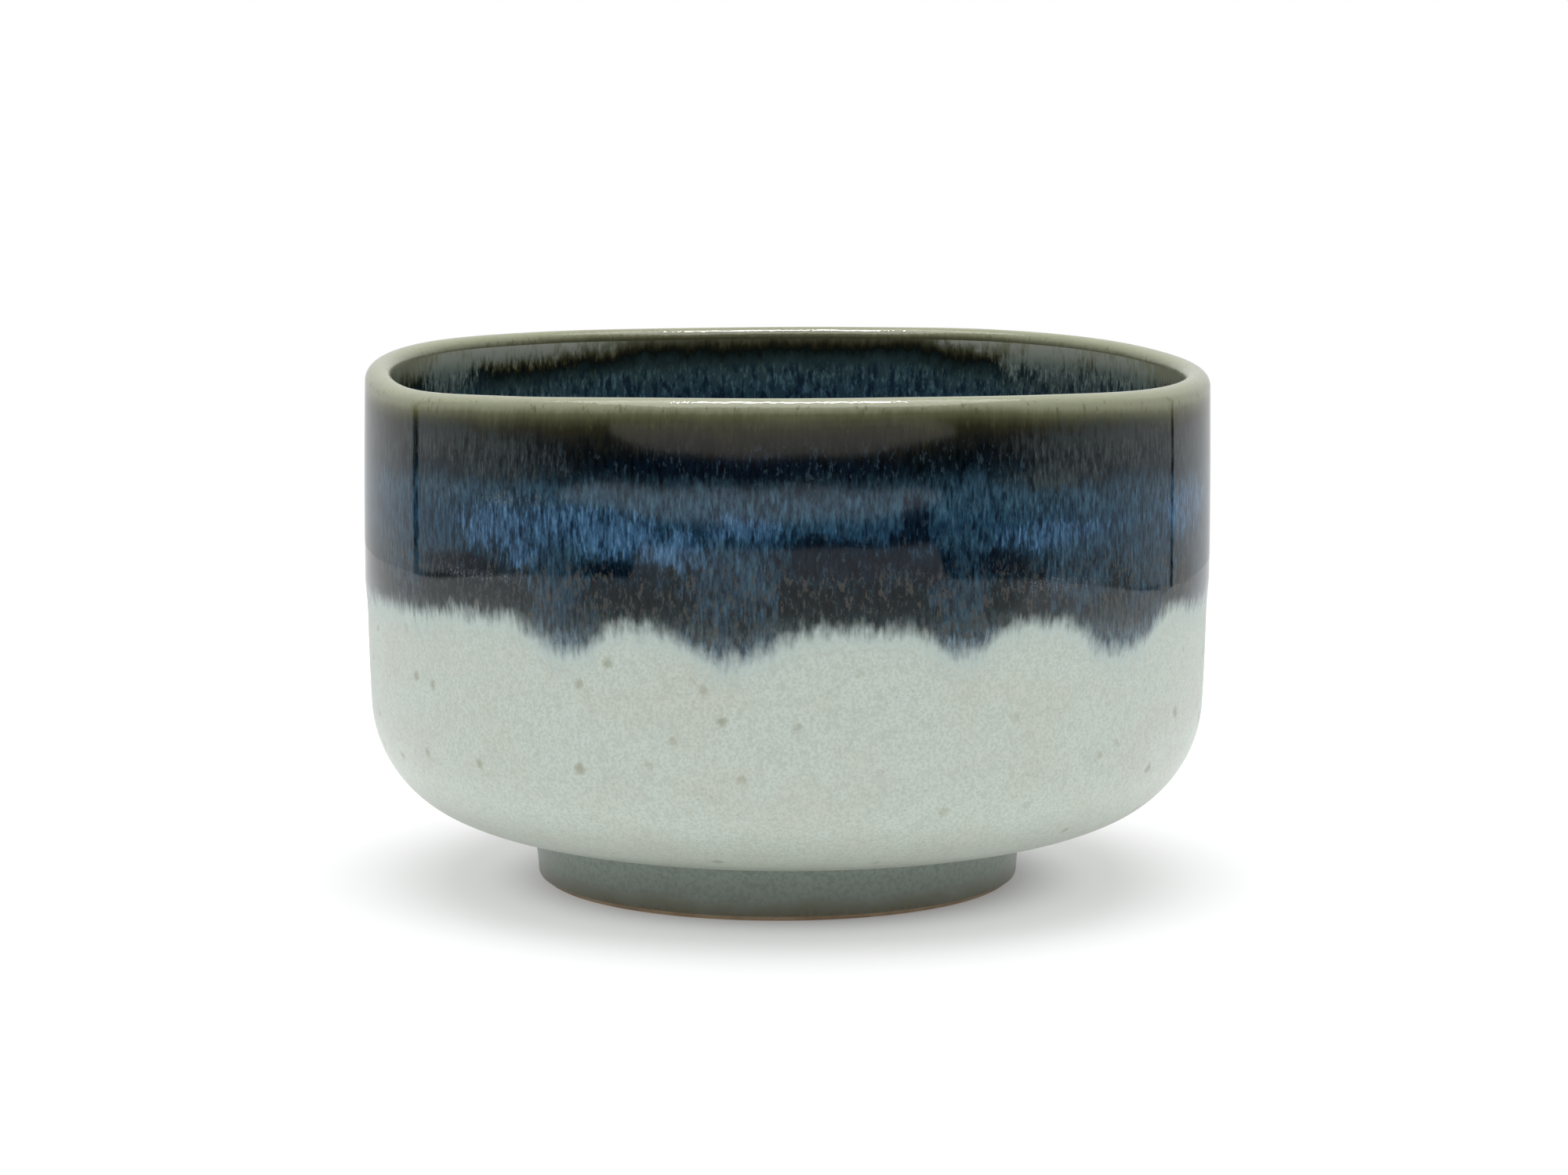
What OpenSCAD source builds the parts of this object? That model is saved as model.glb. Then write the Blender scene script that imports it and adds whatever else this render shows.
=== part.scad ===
// Matcha bowl (chawan): a round thrown clay bowl on a trimmed foot ring, with a pale glaze over
// the whole outside, a dark glaze that ran down over it from the lip, and a dark glaze inside.
// Units are millimetres. +Z is up, and the origin is under the middle of the bowl, on the table.

/* [Bowl] */
// Largest outer diameter, over the dark glaze
bowl_d = 120; // [118:0.5:124]
// Height from the table to the top of the lip
bowl_h = 74.5; // [70:0.5:82]
// Height at which the wall is widest
belly_z = 46; // [42:1:50]
// Radius of the slow curve of the wall below its widest point, seen from the side
wall_curve_r = 420; // [300:10:800]
// Radius of the slower curve of the wall above its widest point
upper_curve_r = 1500; // [800:50:3000]
// Height at which the wall turns into the lower corner
corner_z = 26; // [25:0.5:28]
// Radius of the lower corner
corner_r = 17.4; // [16.4:0.2:18]
// Slope of the underside where the corner ends, in degrees
underside_slope = 26; // [24:1:28]

/* [Inside] */
// Inner diameter, over the inner glaze
inside_d = 112; // [109:0.2:113]
// Height of the middle of the floor above the table
floor_z = 13.2; // [12.6:0.2:14]
// Radius of the corner between the inner wall and the floor
inside_corner_r = 16; // [14:0.5:18]
// How far the floor rises from its middle to that corner
floor_rise = 1.3; // [0.8:0.1:2]

/* [Foot] */
// Height of the foot ring that shows under the bowl
foot_h = 8.5; // [8:0.25:9]
// Outer diameter of the foot ring where it meets the bowl, over its glaze
foot_top_d = 70.5; // [69:0.5:71]
// Outer diameter of the foot ring near the table, over its glaze
foot_low_d = 68.4; // [66:0.2:70]
// Inner diameter of the foot ring near the table
foot_inner_d = 57; // [54:0.5:59]
// How far the foot ring sits off the middle of the bowl, to the left
foot_shift = 1.3; // [0:0.1:1.5]
// Rounding of the outer edge that stands on the table
foot_edge_r = 1.4; // [0.8:0.1:1.6]

/* [Glaze] */
// Thickness of the pale glaze outside
pale_t = 0.4; // [0.3:0.05:0.5]
// Thickness of the dark glaze that lies over the pale glaze
dark_t = 0.3; // [0.2:0.05:0.4]
// Thickness of the glaze inside the bowl
inner_t = 0.4; // [0.3:0.05:0.5]
// Thickness of the glaze on top of the lip
lip_t = 0.5; // [0.4:0.05:0.6]
// Thickness of the glaze on the foot
foot_t = 0.35; // [0.25:0.05:0.4]
// Height of the tips of the drips of the dark glaze
drip_z = 40.5; // [38:0.5:44]
// Height of the arches between the drips
arch_h = 3.8; // [2:0.2:5]
// Width of each drip at its tip
drip_w = 5; // [3:0.5:7]

/* [Hidden] */
$fn = 160;

steps_wall = 12;     // straight pieces in each long curve
steps_low = 4;       // straight pieces in the wall below the drips
steps_corner = 16;   // straight pieces in each corner
steps_lip = 8;       // straight pieces in each half of the lip
clearing = 10;       // how far a cutter reaches past what it cuts

// Directions of the drips in degrees, counted from the front towards the right
DRIPS = [-78, -53, -29, -7, 21, 49, 74, 101, 128, 152, 177, 205, 232, 257, 282];

bowl_r = bowl_d / 2;
inside_r = inside_d / 2;
clay_depth = pale_t + dark_t;   // depth of the clay under the face of the dark glaze

// The outer wall is an arc above the belly and another below it, about far centres level with
// the belly. Depths are counted from the face of the dark glaze, so the pale glaze's face is
// dark_t deep.
wall_centre = [bowl_r - wall_curve_r, belly_z];
wall_end = asin((corner_z - belly_z) / (wall_curve_r - dark_t));
drip_top = drip_z + arch_h + 0.5;        // the arches and drips lie below this height

// The corner is tangent to the wall, and the underside is tangent to the corner.
corner_centre = wall_centre + (wall_curve_r - dark_t - corner_r) * [cos(wall_end), sin(wall_end)];
corner_end = -90 + underside_slope;
under_r = (corner_centre[1] + corner_r * sin(corner_end) - foot_h) / (1 - cos(underside_slope));
under_centre = [corner_centre[0] + (corner_r - under_r) * cos(corner_end), foot_h + under_r];

// The lip is two quarter rounds that meet at its crest.
lip_fall = 2.1;                          // height of its outer round
wall_top = bowl_h - lip_fall;            // height at which the outer wall ends
crest_r = inside_r + 0.45 * (wall_r(0, wall_top) - inside_r);
inner_top = bowl_h - (crest_r - inside_r);

// Inside, a corner joins the upright wall to a floor that is a very shallow dish.
inside_corner = [inside_r - inside_corner_r, floor_z + floor_rise + inside_corner_r];
dish_gap = floor_rise + inside_corner_r;
dish_r = (pow(inside_corner[0], 2) + pow(dish_gap, 2) - pow(inside_corner_r, 2))
         / (2 * floor_rise);
dish_end = -90 + asin(inside_corner[0] / (dish_r - inside_corner_r));

// Foot ring
foot_join = foot_h + pale_t;             // height at which its clay meets the bowl's clay
foot_neck = 0.3;                         // upright stretch just under the bowl
foot_waist = 0.38;                       // share of the ring's taper that is left half way down
foot_glaze_low = foot_edge_r + 0.1;      // the outer glaze stops just above the rounded edge
foot_inner_edge = 0.8;                   // bevel of the inner edge
well_taper = 0.6;                        // how much narrower the foot well is at its top
well_glaze_low = 2;                      // the glaze in the foot well stops above the table

// Radius of the outer wall at a depth and a height
function wall_r(depth, z) =
    let (curve_r = z > belly_z ? upper_curve_r : wall_curve_r)
    bowl_r - curve_r + sqrt(pow(curve_r - depth, 2) - pow(z - belly_z, 2));

function arc(centre, rx, ry, from, to, steps) =
    [for (i = [0 : steps]) let (a = from + (to - from) * i / steps)
        centre + [rx * cos(a), ry * sin(a)]];

function reversed(path) = [for (i = [len(path) - 1 : -1 : 0]) path[i]];

function after_first(path) = [for (i = [1 : len(path) - 1]) path[i]];

// Outer wall from one height down to another
function wall_piece(depth, from_z, to_z, steps) =
    [for (i = [0 : steps]) let (z = from_z + (to_z - from_z) * i / steps) [wall_r(depth, z), z]];

// Outer wall from under the lip down past the drips, which lie on one straight piece
function band_path(depth) =
    concat(wall_piece(depth, wall_top, drip_top, steps_wall),
           after_first(wall_piece(depth, drip_top, drip_z, 1)));

// Outer wall, corner and underside, to where the underside is level
function outer_path(depth) =
    let (inward = depth - dark_t, rc = corner_r - inward, ru = under_r - inward,
         low_z = belly_z + (wall_curve_r - depth) * sin(wall_end))
    concat(band_path(depth),
           after_first(wall_piece(depth, drip_z, low_z, steps_low)),
           after_first(arc(corner_centre, rc, rc, wall_end, corner_end, steps_corner)),
           after_first(arc(under_centre, ru, ru, corner_end, -90, steps_corner)));

// Inside of the bowl from the lip to the middle of the floor, at a depth under its glaze's face
function inner_path(depth) =
    let (rc = inside_corner_r + depth, rd = dish_r + depth)
    concat([[inside_r + depth, inner_top]],
           arc(inside_corner, rc, rc, 0, dish_end, steps_corner),
           after_first(arc([0, floor_z + dish_r], rd, rd, dish_end, -90, steps_wall)));

// Lip from the top of the outer wall over its crest to the top of the inner wall
function lip_path(outer_r, inner_r, top) =
    concat(arc([crest_r, wall_top], outer_r - crest_r, top - wall_top, 0, 90, steps_lip),
           after_first(arc([crest_r, inner_top], crest_r - inner_r, top - inner_top, 90, 180,
                           steps_lip)));

clay_lip = lip_path(wall_r(clay_depth, wall_top), inside_r + inner_t, bowl_h - lip_t);
glazed_lip = lip_path(wall_r(0, wall_top), inside_r, bowl_h);

// Outer side of the foot ring from the bowl down to a height, proud of the clay by a thickness
function foot_path(proud, low_z) =
    let (top = foot_top_d / 2 - foot_t + proud, low = foot_low_d / 2 - foot_t + proud,
         neck_z = foot_h - foot_neck)
    [[top, foot_join], [top, neck_z],
     [low + (top - low) * foot_waist, (neck_z + low_z) / 2], [low, low_z]];

// Radius of the clay of the foot well at a height
function well_r(z) =
    foot_inner_d / 2 - well_taper * (z - foot_inner_edge) / (foot_join - foot_inner_edge);

module turned(outline) {
    rotate_extrude() polygon(outline);
}

// The foot ring's own axis
module on_foot() {
    translate([-foot_shift, 0, 0]) children();
}

// Thrown clay body: rounded lip, upright wall, lower corner and floor
module clay_bowl() {
    color("tan") turned(concat(
        clay_lip,
        after_first(inner_path(inner_t)),
        [[0, foot_join]],
        reversed(after_first(outer_path(clay_depth)))));
}

// Clay foot ring, bare where it stands on the table
module foot_ring() {
    edge_centre = [foot_low_d / 2 - foot_t - foot_edge_r, foot_edge_r];
    color("rosybrown") on_foot() turned(concat(
        foot_path(0, foot_glaze_low),
        arc(edge_centre, foot_edge_r, foot_edge_r, 0, -90, steps_lip),
        [[foot_inner_d / 2 + foot_inner_edge, 0], [well_r(foot_inner_edge), foot_inner_edge],
         [well_r(foot_join), foot_join]]));
}

// Pale glaze over the outside, from under the lip to the neck of the foot
module pale_glaze() {
    flat_r = foot_top_d / 2 - 2 * foot_shift - 1;   // inside the neck on every side
    color("lightgray") difference() {
        turned(concat(
            outer_path(dark_t),
            [[flat_r, foot_h], [flat_r, foot_join]],
            reversed(outer_path(clay_depth))));
        on_foot() translate([0, 0, foot_h - clearing])
            cylinder(r = foot_top_d / 2, h = 2 * clearing);
    }
}

// Rounded arch cut out of the lower edge of the dark glaze between two drips
module arch(from, to) {
    chord = bowl_r * (to - from) * PI / 180 - drip_w;
    r = pow(chord, 2) / (8 * arch_h) + arch_h / 2;
    rotate([0, 0, (from + to) / 2 - 90]) translate([bowl_r - clearing, 0, drip_z + arch_h - r])
        rotate([0, 90, 0]) cylinder(r = r, h = 2 * clearing);
}

// Dark glaze that ran down over the pale glaze and stopped in arches and drips
module dark_glaze() {
    seam = DRIPS[7] - 90;   // the turned band starts in the middle of a drip
    color("darkslateblue") difference() {
        rotate([0, 0, seam]) turned(concat(band_path(0), reversed(band_path(dark_t))));
        for (i = [0 : len(DRIPS) - 2]) arch(DRIPS[i], DRIPS[i + 1]);
    }
}

// Glaze over the crest of the lip, where it drained thin
module lip_glaze() {
    color("darkkhaki") turned(concat(glazed_lip, reversed(clay_lip)));
}

// Glaze on the inside wall and the floor
module inner_glaze() {
    color("darkslategray") turned(concat(inner_path(0), reversed(inner_path(inner_t))));
}

// Glaze on the outer side of the foot ring
module foot_glaze() {
    color("cadetblue") on_foot() turned(concat(
        foot_path(foot_t, foot_glaze_low), reversed(foot_path(0, foot_glaze_low))));
}

// Glaze in the hollow under the bowl, on its ceiling and on the inner side of the foot ring
module foot_well_glaze() {
    color("lightslategray") on_foot() turned([
        [0, foot_join], [well_r(foot_join), foot_join], [well_r(well_glaze_low), well_glaze_low],
        [well_r(well_glaze_low) - foot_t, well_glaze_low],
        [well_r(foot_join) - foot_t, foot_join - foot_t], [0, foot_join - foot_t]]);
}

clay_bowl();
foot_ring();
pale_glaze();
dark_glaze();
lip_glaze();
inner_glaze();
foot_glaze();
foot_well_glaze();
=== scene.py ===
"""Matcha bowl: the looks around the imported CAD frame.

Heights, radii and thicknesses of the bowl are in millimetres until a mesh is made. Azimuths are
in degrees from the front (-Y) towards the right (+X). The stage around it is in metres.
"""

import math

import bpy
import numpy as np
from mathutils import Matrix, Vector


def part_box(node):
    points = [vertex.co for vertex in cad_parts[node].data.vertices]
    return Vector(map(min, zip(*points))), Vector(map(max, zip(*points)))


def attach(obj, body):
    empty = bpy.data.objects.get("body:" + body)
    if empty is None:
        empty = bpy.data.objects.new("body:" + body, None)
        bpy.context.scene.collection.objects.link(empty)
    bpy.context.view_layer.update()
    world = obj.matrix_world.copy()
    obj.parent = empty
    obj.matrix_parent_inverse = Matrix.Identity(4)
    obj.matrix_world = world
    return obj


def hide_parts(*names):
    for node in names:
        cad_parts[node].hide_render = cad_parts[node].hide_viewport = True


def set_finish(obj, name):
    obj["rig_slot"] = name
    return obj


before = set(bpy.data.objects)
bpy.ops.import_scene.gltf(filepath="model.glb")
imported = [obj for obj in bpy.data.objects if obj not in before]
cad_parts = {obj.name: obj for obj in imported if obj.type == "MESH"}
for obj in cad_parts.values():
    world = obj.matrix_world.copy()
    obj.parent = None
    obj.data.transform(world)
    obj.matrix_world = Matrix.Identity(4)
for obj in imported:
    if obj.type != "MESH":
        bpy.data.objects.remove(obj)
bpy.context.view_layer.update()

MM = 0.001
DEGREES = 180 / math.pi   # in a radian
BODY = "root"

# ---------------------------------------------------------------------------------------------
# Driving dimensions. The outer ones come from the frame, the rest repeat the part's own values.
# ---------------------------------------------------------------------------------------------

BOWL_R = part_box("dark_glaze")[1].x / MM
RIM_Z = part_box("lip_glaze")[1].z / MM
WALL_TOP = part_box("lip_glaze")[0].z / MM
FOOT_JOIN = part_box("foot_ring")[1].z / MM
FOOT_X = (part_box("foot_ring")[0].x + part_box("foot_ring")[1].x) / 2 / MM
FOOT_TOP_R = (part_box("foot_glaze")[1].x / MM) - FOOT_X

PALE_T = 0.4
DARK_T = 0.3
CLAY_DEPTH = PALE_T + DARK_T
INNER_T = 0.4
LIP_T = 0.5
FOOT_T = 0.35

BELLY_Z = 46.0
WALL_CURVE_R = 420.0      # below the belly
UPPER_CURVE_R = 1500.0    # above it
CORNER_Z = 26.0
CORNER_R = 17.4
UNDERSIDE_SLOPE = 26.0
CREST_SHARE = 0.45        # how far out over the lip its crest lies
FOOT_H = FOOT_JOIN - PALE_T

INSIDE_R = 56.0
FLOOR_Z = 13.2
INSIDE_CORNER_R = 16.0
FLOOR_RISE = 1.3

FOOT_LOW_R = 34.2
FOOT_INNER_R = 28.5
FOOT_EDGE_R = 1.4
FOOT_INNER_EDGE = 0.8
FOOT_FLARE = 1.4          # 1 is a straight side, and more flares out nearer the bowl
FOOT_GLAZE_LOW = FOOT_EDGE_R + 0.1
FOOT_GLAZE_WRAP = 28      # degrees of the lower rounding that the glaze runs over
WELL_TAPER = 0.6
WELL_GLAZE_LOW = 2.0
WELL_CORNER_R = 1.0

# Hand-made unevenness
RIM_SINK = [  # how far the lip sinks below its highest point: azimuth, depth
    (-165, 0.8), (-140, 0.4), (-113, 0.1), (-90, 0.7), (-64, 2.0), (-40, 1.15), (-18, 0.25),
    (0, 0.03), (18, 0.1), (36, 0.6), (60, 1.5), (84, 1.5), (108, 1.0), (124, 0.5), (146, 0.3),
    (170, 0.7)]
RIM_SINK_FROM = 50.0      # the wall follows the sinking lip above this height
RIM_SINK_POWER = 1.3      # and follows it mostly near the top
SWAY = [  # slow unevenness of the wall: amplitude, waves around, waves per mm of height, phase
    (0.030, 2, 0.002, 0.6), (0.022, 3, 0.003, 2.1), (0.012, 5, 0.004, 4.0),
    (0.006, 9, 0.008, 1.0), (0.004, 17, 0.010, 2.7), (0.003, 26, 0.015, 5.1)]
SWAY_RISE = 14.0          # it grows to its full size over this height above the foot
SWAY_R = (5.0, 30.0)      # and over these radii, so that the axis stays still

LIP_LIFT = [  # how far down the pale lip has drained, outside: azimuth, millimetres
    (-178, -1.1), (-150, -0.9), (-120, 0.0), (-90, 0.9), (-65, 0.7), (-45, 0.2), (-25, 0.0),
    (0, 0.0), (25, -0.2), (40, 0.5), (60, 0.9), (90, 0.6), (120, 0.0), (150, -0.7)]
INNER_LIFT = [  # the same for the inside
    (-178, -0.4), (-160, -0.2), (-143, 1.5), (-120, 2.1), (-95, 1.6), (-60, 0.4), (-30, 0.8),
    (0, 0.0), (40, 0.7), (75, 1.2), (100, 2.2), (125, 2.1), (143, 1.8), (160, -0.2)]

# Lower edge of the dark glaze: its level between drips, and each drip's azimuth, depth, width
EDGE_Z = 44.0
DRIPS = [
    (-84, 2.3, 24), (-57, 0.8, 7), (-29.5, 3.8, 5.2), (-7.5, 4.0, 6.6), (23, 3.6, 5.2),
    (49.5, 5.6, 8.6), (75, 2.4, 12), (101, 3.6, 7), (124, 2.6, 6), (147, 4.4, 8), (170, 3.0, 6),
    (196, 4.2, 7.5), (221, 2.8, 6), (243, 3.8, 7.5)]
DRIP_POWER = 2.6          # 2 is a round drip, and more gives it a flatter tip
FADE = 2.6                # the dark coat runs out this far below its edge
FULL_ABOVE = 2.5          # and has its full thickness this far above it
EDGE_T = 0.02             # thickness of the coat where it has run out
BEAD = 0.03               # how much thicker the glaze is in a drip
BEAD_UP = 1.5             # height of that bead above the edge
BEAD_SPREAD = 1.6
BEAD_DEPTH = 4.0          # drips this deep have the whole bead

# Patches of colour in the dark glaze: azimuth, height, half-width in degrees, half-height.
# haze is a grey bloom under the lip, run_blue lies in the drips, and the kind after run_blue is
# painted highlight: pale crumbs of glint along mirrored edges.
PATCHES = {
    "blue": [
        (-40, 56.0, 6, 3.2), (-30, 57.0, 6, 2.8), (-22, 56.0, 6, 3.2), (-13, 54.5, 4, 2.6),
        (-6, 57.6, 4, 1.6), (-36, 53.0, 3, 2.0), (36, 55.5, 8, 1.8), (66, 56, 9, 3.0),
        (92, 55, 12, 3.4), (116, 57, 8, 2.5), (140, 55, 11, 3.2), (163, 56.5, 8, 2.8),
        (188, 55, 10, 3.3), (212, 57, 9, 2.6), (236, 55, 11, 3.2), (262, 56, 9, 3.0)],
    "haze": [
        (-75, 66, 16, 3.5), (-52, 68.0, 10, 2.8), (-40, 66.0, 9, 3.2), (46, 67.5, 14, 3.4),
        (38, 64.0, 8, 2.0), (70, 66, 12, 3.0), (110, 67, 16, 2.8), (160, 67, 18, 3.2),
        (205, 66.5, 14, 2.8), (245, 67, 15, 3.0)],
    "run_blue": [
        (-30, 49.0, 4.5, 5.0), (-7, 50.0, 5.5, 5.5), (22, 51.0, 4.5, 6.0), (41, 50.0, 6, 5.0),
        (55, 50.5, 7, 6.0), (-60, 51, 6, 5), (76, 49, 7, 5.5), (101, 49, 6, 5.5),
        (124, 49, 5, 5), (147, 50, 7, 5.5), (170, 49, 5, 5), (196, 50, 6.5, 5.5),
        (221, 49, 5, 5), (243, 50, 6.5, 5.5), (270, 49, 8, 5)],
    "frost": [
        (-37, 60.3, 6, 0.9), (-45, 49.3, 8, 0.6), (36, 48.8, 6, 0.9), (80, 60, 7, 0.8),
        (150, 49.5, 8, 0.7), (-100, 60, 7, 0.8)],
    "ink": [
        (-22, 51.7, 5.0, 1.1), (3.5, 55.0, 4.0, 1.6), (8.5, 53.4, 9.0, 2.6),
        (15.5, 55.8, 3.2, 1.5), (18.5, 52.0, 3.5, 2.2), (28.5, 52.4, 4.0, 1.7),
        (-47, 50.5, 7, 1.4), (-6, 65.6, 17, 1.5), (16.2, 58.0, 1.5, 3.6), (86, 52.5, 9, 1.2),
        (119, 51, 4, 2.0), (144, 53, 6, 1.0), (160, 50.8, 3, 1.6), (184, 51.5, 9, 1.5),
        (221, 52.8, 4, 1.1), (236, 51, 5, 1.9), (262, 52, 8, 1.2)],
}
INNER_WASH = [  # paler, milky places on the inner wall, given in the same way
    (134, 70.5, 10, 6.0), (119, 68, 12, 6), (149, 73.5, 7, 1.6), (-133, 73.2, 15, 2.4),
    (-117, 70, 8, 3.0), (45, 70, 12, 3), (-50, 69, 10, 3)]
PATCH_FALL = 0.7          # how fast a patch fades towards its rim
PATCH_POWER = 1.5         # 1 fades evenly, and more gives it a flatter middle

AROUND = 576              # segments around the large pieces
AROUND_FINE = 1152        # segments around the glaze with the drips and the lip
AROUND_COARSE = 288       # segments around the pieces that hardly show
SHARP_ANGLE = 40          # edges that bend more than this stay crisp


# ---------------------------------------------------------------------------------------------
# Shape
# ---------------------------------------------------------------------------------------------

def smooth(low, high, value):
    """Smooth step from low to high, which may run downwards."""
    t = np.clip((value - low) / (high - low), 0, 1)
    return t * t * (3 - 2 * t)


def arc(centre, rx, rz, start, end, steps):
    """Points of an arc from one angle to another, in degrees."""
    a = np.radians(np.linspace(start, end, steps + 1))
    return np.stack([centre[0] + rx * np.cos(a), centre[1] + rz * np.sin(a)], 1)


def join(*lines):
    """One line out of several, without the points that they share."""
    points = [lines[0]]
    for line in lines[1:]:
        line = np.asarray(line, float).reshape(-1, 2)
        if np.allclose(line[0], points[-1][-1], atol=1e-6):
            line = line[1:]
        points.append(line)
    return np.concatenate(points)


def wall_r(z, depth):
    """Radius of the outer wall at a height, at a depth under the face of the dark glaze."""
    curve_r = np.where(z > BELLY_Z, UPPER_CURVE_R, WALL_CURVE_R)
    return BOWL_R - curve_r + np.sqrt((curve_r - depth) ** 2 - (z - BELLY_Z) ** 2)


# The lower corner is tangent to the wall, and the underside is tangent to the corner.
WALL_CENTRE = np.array([BOWL_R - WALL_CURVE_R, BELLY_Z])
WALL_END = math.degrees(math.asin((CORNER_Z - BELLY_Z) / (WALL_CURVE_R - DARK_T)))
TO_CORNER = np.array([math.cos(math.radians(WALL_END)), math.sin(math.radians(WALL_END))])
CORNER_CENTRE = WALL_CENTRE + (WALL_CURVE_R - DARK_T - CORNER_R) * TO_CORNER
CORNER_END = -90 + UNDERSIDE_SLOPE
CORNER_LOW_Z = CORNER_CENTRE[1] + CORNER_R * math.sin(math.radians(CORNER_END))
UNDER_R = (CORNER_LOW_Z - FOOT_H) / (1 - math.cos(math.radians(UNDERSIDE_SLOPE)))
UNDER_CENTRE = np.array([
    CORNER_CENTRE[0] + (CORNER_R - UNDER_R) * math.cos(math.radians(CORNER_END)),
    FOOT_H + UNDER_R])

# The lip is two quarter rounds that meet at its crest.
CREST_R = INSIDE_R + CREST_SHARE * float(wall_r(WALL_TOP, 0) - INSIDE_R)
INNER_TOP = RIM_Z - (CREST_R - INSIDE_R)

# Inside, a corner joins the upright wall to a floor that is a very shallow dish.
INSIDE_CORNER = np.array([INSIDE_R - INSIDE_CORNER_R, FLOOR_Z + FLOOR_RISE + INSIDE_CORNER_R])
DISH_R = (INSIDE_CORNER[0] ** 2 + (FLOOR_RISE + INSIDE_CORNER_R) ** 2
          - INSIDE_CORNER_R ** 2) / (2 * FLOOR_RISE)
DISH_END = -90 + math.degrees(math.asin(INSIDE_CORNER[0] / (DISH_R - INSIDE_CORNER_R)))


def outer_line(depth, wall_steps, corner_steps):
    """Outside from under the lip to where the underside is level."""
    inward = depth - DARK_T
    low_z = BELLY_Z + (WALL_CURVE_R - depth) * math.sin(math.radians(WALL_END))
    z = np.linspace(WALL_TOP, low_z, wall_steps + 1)
    return join(
        np.stack([wall_r(z, depth), z], 1),
        arc(CORNER_CENTRE, CORNER_R - inward, CORNER_R - inward, WALL_END, CORNER_END,
            corner_steps),
        arc(UNDER_CENTRE, UNDER_R - inward, UNDER_R - inward, CORNER_END, -90,
            corner_steps // 2))


def inner_line(depth, wall_steps, corner_steps):
    """Inside from under the lip to the middle of the floor."""
    upright = np.stack([np.full(wall_steps + 1, INSIDE_R + depth),
                        np.linspace(INNER_TOP, INSIDE_CORNER[1], wall_steps + 1)], 1)
    return join(
        upright,
        arc(INSIDE_CORNER, INSIDE_CORNER_R + depth, INSIDE_CORNER_R + depth, 0, DISH_END,
            corner_steps),
        arc([0, FLOOR_Z + DISH_R], DISH_R + depth, DISH_R + depth, DISH_END, -90,
            corner_steps))


def lip_line(outer_r, inner_r, top, steps):
    """Over the lip from the top of the outer wall to the top of the inner wall."""
    return join(
        arc([CREST_R, WALL_TOP], outer_r - CREST_R, top - WALL_TOP, 0, 90, steps),
        arc([CREST_R, INNER_TOP], CREST_R - inner_r, top - INNER_TOP, 90, 180, steps))


def foot_line(proud, steps):
    """Outer side of the foot ring from the bowl down, proud of its clay by a thickness."""
    z = np.linspace(FOOT_JOIN, FOOT_GLAZE_LOW, steps + 1)
    share = (z - FOOT_GLAZE_LOW) / (FOOT_JOIN - FOOT_GLAZE_LOW)
    clay_top = FOOT_TOP_R - FOOT_T
    clay_low = FOOT_LOW_R - FOOT_T
    r = clay_low + (clay_top - clay_low) * share ** FOOT_FLARE + proud
    return np.stack([r, z], 1)


def well_r(z):
    """Radius of the clay around the hollow under the bowl."""
    return FOOT_INNER_R - WELL_TAPER * (z - FOOT_INNER_EDGE) / (FOOT_JOIN - FOOT_INNER_EDGE)


def around_curve(points, azimuth):
    """Smooth closed curve through (azimuth, value) points."""
    a = np.array([p[0] for p in points], float)
    v = np.array([p[1] for p in points], float)
    order = np.argsort(a)
    a, v = a[order], v[order]
    a = np.concatenate([a[-2:] - 360, a, a[:2] + 360])
    v = np.concatenate([v[-2:], v, v[:2]])
    slope = np.gradient(v, a)
    x = (azimuth + 180) % 360 - 180
    i = np.clip(np.searchsorted(a, x) - 1, 0, len(a) - 2)
    h = a[i + 1] - a[i]
    t = (x - a[i]) / h
    return ((2 * t**3 - 3 * t**2 + 1) * v[i] + (t**3 - 2 * t**2 + t) * h * slope[i]
            + (3 * t**2 - 2 * t**3) * v[i + 1] + (t**3 - t**2) * h * slope[i + 1])


def turn_between(azimuth, middle):
    """Signed angle from middle to azimuth, the short way round."""
    return (azimuth - middle + 180) % 360 - 180


def drip_depth(azimuth):
    """How far the dark glaze has run down below its level edge."""
    return sum(depth * np.exp(-np.abs(turn_between(azimuth, middle) / width) ** DRIP_POWER)
               for middle, depth, width in DRIPS)


def sway(azimuth, z):
    """Slow unevenness of a thrown wall, never outside its true radius."""
    a = np.radians(azimuth)
    total = sum(size * (np.sin(waves * a + climb * z * 2 * math.pi + phase) - 1)
                for size, waves, climb, phase in SWAY)
    return total * smooth(FOOT_H, FOOT_H + SWAY_RISE, z)


def placed(r, z, azimuth):
    """x, y, z of points on the bowl, with its unevenness."""
    sink = around_curve(RIM_SINK, azimuth) * smooth(RIM_SINK_FROM, RIM_Z, z) ** RIM_SINK_POWER
    r = r + sway(azimuth, z) * smooth(*SWAY_R, r)
    a = np.radians(azimuth)
    return r * np.sin(a), -r * np.cos(a), z - sink


def placed_foot(r, z, azimuth):
    """x, y, z of points on the foot, which is a little off the bowl's axis."""
    a = np.radians(azimuth)
    return r * np.sin(a) + FOOT_X, -r * np.cos(a), z


# ---------------------------------------------------------------------------------------------
# Meshes
# ---------------------------------------------------------------------------------------------

def spread(line, around):
    """A line's radii and heights, the same at every azimuth."""
    line = np.asarray(line, float)
    return np.repeat(line[:, :1], around, 1), np.repeat(line[:, 1:], around, 1)


def azimuths(around):
    return np.arange(around)[None] * 360 / around


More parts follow.
